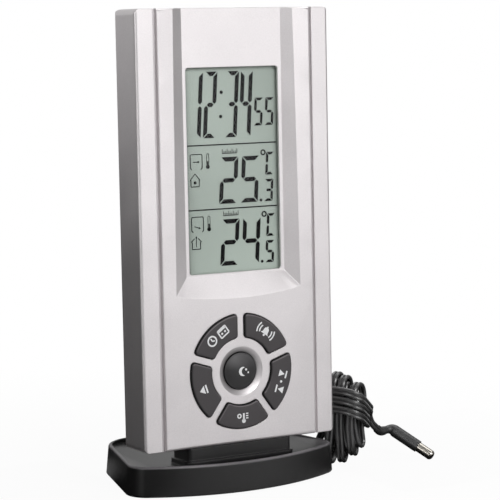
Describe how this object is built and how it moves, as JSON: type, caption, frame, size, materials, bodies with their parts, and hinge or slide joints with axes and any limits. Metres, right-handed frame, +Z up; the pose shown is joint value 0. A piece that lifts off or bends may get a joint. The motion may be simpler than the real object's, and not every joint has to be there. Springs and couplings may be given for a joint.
{
  "type": "desk thermometer clock",
  "caption": "Slim silver desk clock and thermometer with a reflective display and a ring of keys, leaning on a low black stand, with a wired temperature probe wound in a hank.",
  "frame": {"origin": "on the table under the middle of the stand", "axes": "+X to the right seen from the front, +Y to the back, +Z up; the front faces -Y"},
  "size_m": [0.1237, 0.0572, 0.1659],
  "materials": {
    "stand_black": "satin moulded black",
    "foot_rubber": "matt",
    "silver_case": "fine silver paint",
    "screw_steel": "zinc plated",
    "clear_lens": "clear, polished",
    "display_glass": "grey-green reflective display",
    "white_plastic": "moulded white",
    "contact_rubber": "striped contact rubber",
    "board_green": "solder mask",
    "chip_epoxy": "black epoxy",
    "crystal_can": "drawn can",
    "sensor_bead": "dipped bead",
    "buzzer_brass": "rolled sheet",
    "mat_silicone": "moulded silicone",
    "key_grey": "satin dark grey",
    "cell_jacket": "plain printed jacket",
    "contact_nickel": "nickel plated",
    "wire_red": "insulated wire",
    "grommet_rubber": "moulded",
    "cable_black": "smooth twin cable jacket",
    "sleeve_grey": "shrunk sleeve",
    "tip_nickel": "bright nickel"
  },
  "bodies": {
    "stand": {"stand": "stand_black", "stand_feet": "foot_rubber"},
    "case": {"front_case": "silver_case", "rear_cover": "silver_case", "case_screws": "screw_steel", "window_lens": "clear_lens", "lcd_panel": "display_glass", "lcd_frame": "white_plastic", "zebra_strip": "contact_rubber", "circuit_board": "board_green", "board_screws": "screw_steel", "chip_blob": "chip_epoxy", "quartz_crystal": "crystal_can", "room_sensor": "sensor_bead", "buzzer": "buzzer_brass", "key_mat": "mat_silicone", "battery_cell": "cell_jacket", "battery_spring": "contact_nickel", "battery_plate": "contact_nickel", "battery_leads": "wire_red", "cable_grommet": "grommet_rubber", "probe_leads": "wire_red", "cable_lead": "cable_black", "cable_hank": "cable_black", "cable_tail": "cable_black", "probe_sleeve": "sleeve_grey", "probe_tip": "tip_nickel"},
    "battery_door": {"battery_door": "silver_case"},
    "key_upper_right": {"key_upper_right": "key_grey"},
    "key_upper_left": {"key_upper_left": "key_grey"},
    "key_left": {"key_left": "key_grey"},
    "key_bottom": {"key_bottom": "key_grey"},
    "key_right": {"key_right": "key_grey"},
    "key_centre": {"key_centre": "key_grey"}
  },
  "joints": [
    {"name": "case_lift", "type": "slide", "parent": "stand", "child": "case", "axis": [0, 0.0384, 0.9993], "range_m": [0, 0.008]},
    {"name": "key_upper_right_press", "type": "slide", "parent": "case", "child": "key_upper_right", "axis": [0, 0.9993, -0.0384], "range_m": [0, 0.0008], "stiffness_N_per_m": 1200},
    {"name": "key_upper_left_press", "type": "slide", "parent": "case", "child": "key_upper_left", "axis": [0, 0.9993, -0.0384], "range_m": [0, 0.0008], "stiffness_N_per_m": 1200},
    {"name": "key_left_press", "type": "slide", "parent": "case", "child": "key_left", "axis": [0, 0.9993, -0.0384], "range_m": [0, 0.0008], "stiffness_N_per_m": 1200},
    {"name": "key_bottom_press", "type": "slide", "parent": "case", "child": "key_bottom", "axis": [0, 0.9993, -0.0384], "range_m": [0, 0.0008], "stiffness_N_per_m": 1200},
    {"name": "key_right_press", "type": "slide", "parent": "case", "child": "key_right", "axis": [0, 0.9993, -0.0384], "range_m": [0, 0.0008], "stiffness_N_per_m": 1200},
    {"name": "key_centre_press", "type": "slide", "parent": "case", "child": "key_centre", "axis": [0, 0.9993, -0.0384], "range_m": [0, 0.0008], "stiffness_N_per_m": 1200},
    {"name": "battery_door_slide", "type": "slide", "parent": "case", "child": "battery_door", "axis": [0, -0.0384, -0.9993], "range_m": [0, 0.017]}
  ]
}
